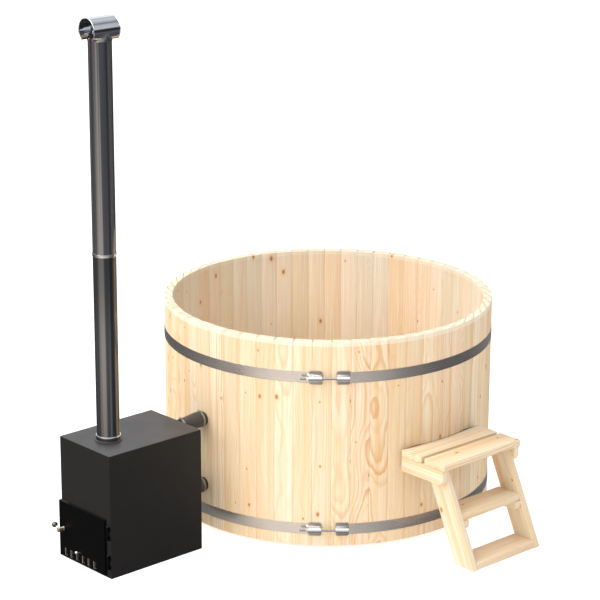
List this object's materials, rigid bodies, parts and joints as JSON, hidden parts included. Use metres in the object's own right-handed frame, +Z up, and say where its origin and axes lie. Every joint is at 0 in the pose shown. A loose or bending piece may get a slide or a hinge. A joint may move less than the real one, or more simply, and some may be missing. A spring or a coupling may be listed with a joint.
{
  "type": "wooden hot tub with outside wood stove",
  "caption": "Round wooden stave hot tub with steel hoops, an outside wood-burning stove with chimney plumbed to it, and a set of wooden steps.",
  "frame": {"origin": "on the ground under the middle of the round tub", "axes": "+Z up, the stove and its chimney lie towards -X, the steps lie towards -Y"},
  "size_m": [2.3638, 2.0298, 2.532],
  "materials": {
    "pine_pale": "planed, untreated",
    "pine_tan": "planed, untreated",
    "pine_warm": "planed, untreated",
    "pine_inner": "planed, untreated",
    "steel_band": "brushed",
    "steel_bright": "polished",
    "steel_plain": "satin",
    "chimney_steel": "polished",
    "stove_black": "satin",
    "fire_steel": "matt",
    "cast_grate": "rough",
    "brass": "satin",
    "black_rubber": "matt",
    "grey_plastic": "matt",
    "fire_rope": "matt"
  },
  "bodies": {
    "tub": {"staves_even": "pine_pale", "pipe_stave": "pine_pale", "left_stringer": "pine_pale", "right_stringer": "pine_pale", "staves_odd": "pine_tan", "platform_rails": "pine_tan", "platform_boards": "pine_warm", "tread": "pine_warm", "foot_board": "pine_warm", "floor_boards": "pine_inner", "drain_board": "pine_inner", "floor_bearers": "pine_inner", "bench_boards": "pine_inner", "bench_legs": "pine_inner", "tread_cleats": "pine_inner", "upper_hoop": "steel_band", "lower_hoop": "steel_band", "upper_clamp_plates": "steel_bright", "lower_clamp_plates": "steel_bright", "tension_bolts": "steel_bright", "tension_nuts": "steel_bright", "hose_clamps": "steel_bright", "chimney_ring": "steel_bright", "joint_band": "steel_bright", "drain_flange": "steel_plain", "drain_nut": "steel_plain", "hinge_pins": "steel_plain", "latch_keeper": "steel_plain", "ash_pan": "steel_plain", "step_screws": "steel_plain", "lower_pipe": "chimney_steel", "upper_pipe": "chimney_steel", "rain_cap": "chimney_steel", "stove_casing": "stove_black", "flue_collar": "stove_black", "hinge_plates": "stove_black", "firebox": "fire_steel", "smoke_shelf": "fire_steel", "flue_tube": "fire_steel", "hot_stub": "fire_steel", "cold_stub": "fire_steel", "grate": "cast_grate", "wall_gaskets": "black_rubber", "hot_reducer": "black_rubber", "cold_reducer": "black_rubber", "hot_fitting": "grey_plastic", "cold_fitting": "grey_plastic", "inner_nuts": "grey_plastic"},
    "door": {"fire_door": "stove_black", "door_liner": "fire_steel", "door_rope": "fire_rope", "hinge_knuckles": "stove_black"},
    "slider": {"air_slider": "steel_plain", "air_knob": "steel_bright"},
    "latch": {"door_handle": "brass", "handle_ball": "steel_bright", "latch_tongue": "steel_plain"},
    "plug": {"drain_plug": "black_rubber"}
  },
  "joints": [
    {"name": "door_hinge", "type": "hinge", "parent": "tub", "child": "door", "pos_m": [-1.513, -0.168, 0.148], "axis": [0, 0, 1], "range_deg": [0, 150]},
    {"name": "air_slide", "type": "slide", "parent": "door", "child": "slider", "axis": [0, -1, 0], "range_m": [0, 0.0215]},
    {"name": "latch_turn", "type": "hinge", "parent": "door", "child": "latch", "pos_m": [-1.53, 0.148, 0.152], "axis": [-1, 0, 0], "range_deg": [0, 90]},
    {"name": "plug_lift", "type": "slide", "parent": "tub", "child": "plug", "axis": [0, 0, 1], "range_m": [0, 0.08]}
  ]
}
